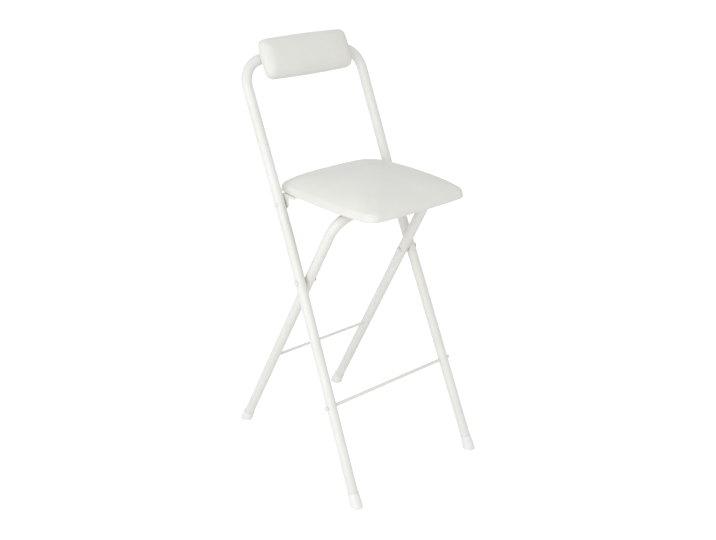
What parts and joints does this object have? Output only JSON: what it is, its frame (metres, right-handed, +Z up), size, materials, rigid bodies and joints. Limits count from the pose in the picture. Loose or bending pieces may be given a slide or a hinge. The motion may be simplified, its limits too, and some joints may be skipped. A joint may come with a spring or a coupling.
{
  "type": "folding bar stool",
  "caption": "Tall folding stool of crossed bent-tube frames, with a hinged padded seat, a low padded back, a thin footrest rod and plastic feet.",
  "frame": {"origin": "on the floor, in the middle of the open stool's footprint", "axes": "+Z up; the stool faces -Y; +X is to the right as seen from the front"},
  "size_m": [0.4186, 0.538, 1.0383],
  "materials": {
    "coat": "satin off-white powder coat",
    "vinyl": "white upholstery vinyl with a fine grain",
    "foam": "open-cell upholstery foam",
    "plywood": "plain plywood",
    "cap": "light grey-white moulded plastic",
    "nylon": "natural nylon",
    "fastener": "zinc plated steel"
  },
  "bodies": {
    "front_frame": {"front_frame_tube": "coat", "footrest_rod": "coat", "footrest_screw_left": "coat", "footrest_screw_right": "coat", "foot_cap_front_left": "cap", "foot_cap_front_right": "cap", "crossing_rivet_left": "coat", "crossing_rivet_right": "coat", "crossing_spacer_left": "nylon", "crossing_spacer_right": "nylon", "crossing_washer_left": "fastener", "crossing_washer_right": "fastener", "seat_hinge_bolt_left": "coat", "seat_hinge_bolt_right": "coat", "seat_hinge_washer_left": "nylon", "seat_hinge_washer_right": "nylon", "seat_hinge_nut_left": "fastener", "seat_hinge_nut_right": "fastener", "back_board": "plywood", "back_foam": "foam", "back_cover": "vinyl", "back_tee_nut_left": "fastener", "back_tee_nut_right": "fastener", "back_bolt_left": "fastener", "back_bolt_right": "fastener"},
    "rear_frame": {"rear_frame_tube": "coat", "rear_crossbar": "coat", "foot_cap_rear_left": "cap", "foot_cap_rear_right": "cap"},
    "seat": {"seat_board": "plywood", "seat_foam": "foam", "seat_cover": "vinyl", "seat_bracket_left": "coat", "seat_bracket_right": "coat", "tube_hook_left": "coat", "tube_hook_right": "coat", "bracket_screw_left_1": "fastener", "bracket_screw_left_2": "fastener", "bracket_screw_right_1": "fastener", "bracket_screw_right_2": "fastener", "hook_screw_left_1": "fastener", "hook_screw_left_2": "fastener", "hook_screw_right_1": "fastener", "hook_screw_right_2": "fastener"}
  },
  "joints": [
    {"name": "rear_frame_fold", "type": "hinge", "parent": "front_frame", "child": "rear_frame", "pos_m": [0, -0.03279, 0.50499], "axis": [-1, 0, 0], "range_deg": [0, 49.4]},
    {"name": "seat_fold", "type": "hinge", "parent": "front_frame", "child": "seat", "pos_m": [0, 0.04244, 0.678], "axis": [-1, 0, 0], "range_deg": [0, 97]}
  ],
  "couplings": [
    {"joint": "seat_fold", "follows": "rear_frame_fold", "ratio": 1.96}
  ]
}
